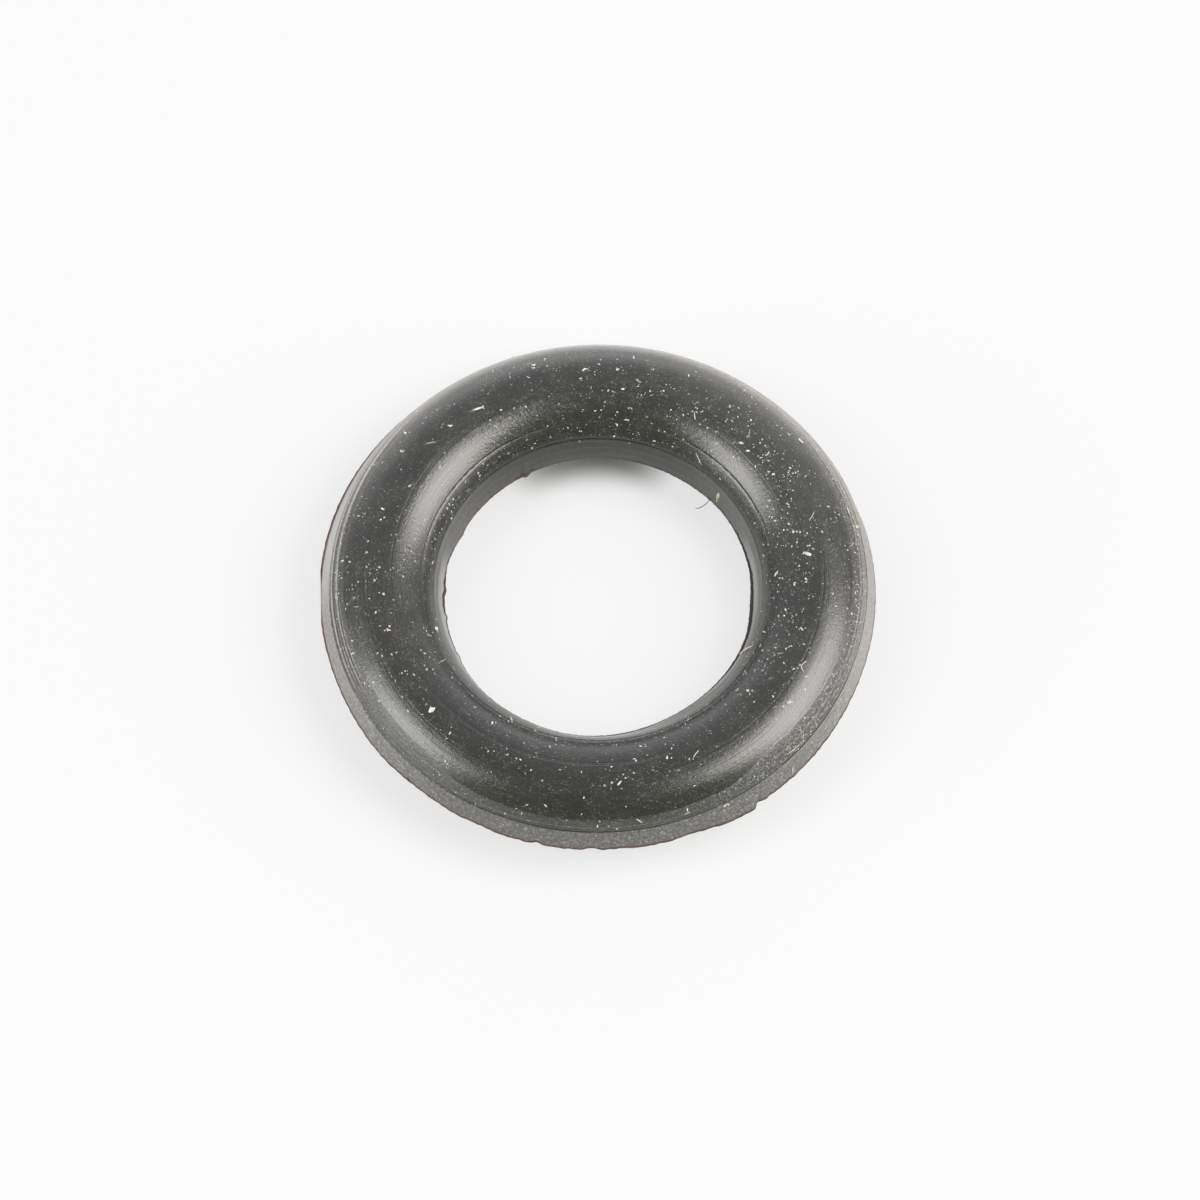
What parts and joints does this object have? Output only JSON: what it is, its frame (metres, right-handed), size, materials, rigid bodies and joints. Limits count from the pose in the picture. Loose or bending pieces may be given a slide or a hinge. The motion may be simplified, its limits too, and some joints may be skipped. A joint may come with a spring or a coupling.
{
  "type": "o-ring seal",
  "caption": "Moulded black rubber o-ring with trimmed flash lands, a torn flash edge and dust, lying flat; seals a shaft or a cover in a groove.",
  "frame": {"origin": "on the ring's axis, in the plane that the ring rests on", "axes": "+Z along the ring's axis, up out of the upper mould half; -Y towards the side where most of the flash edge is torn"},
  "size_m": [0.0122, 0.0122, 0.0024],
  "materials": {
    "rubber": "satin black moulded rubber, duller on the trimmed lands, with mould lines, flash and white dust"
  },
  "bodies": {
    "root": {"o_ring": "rubber"}
  },
  "joints": []
}
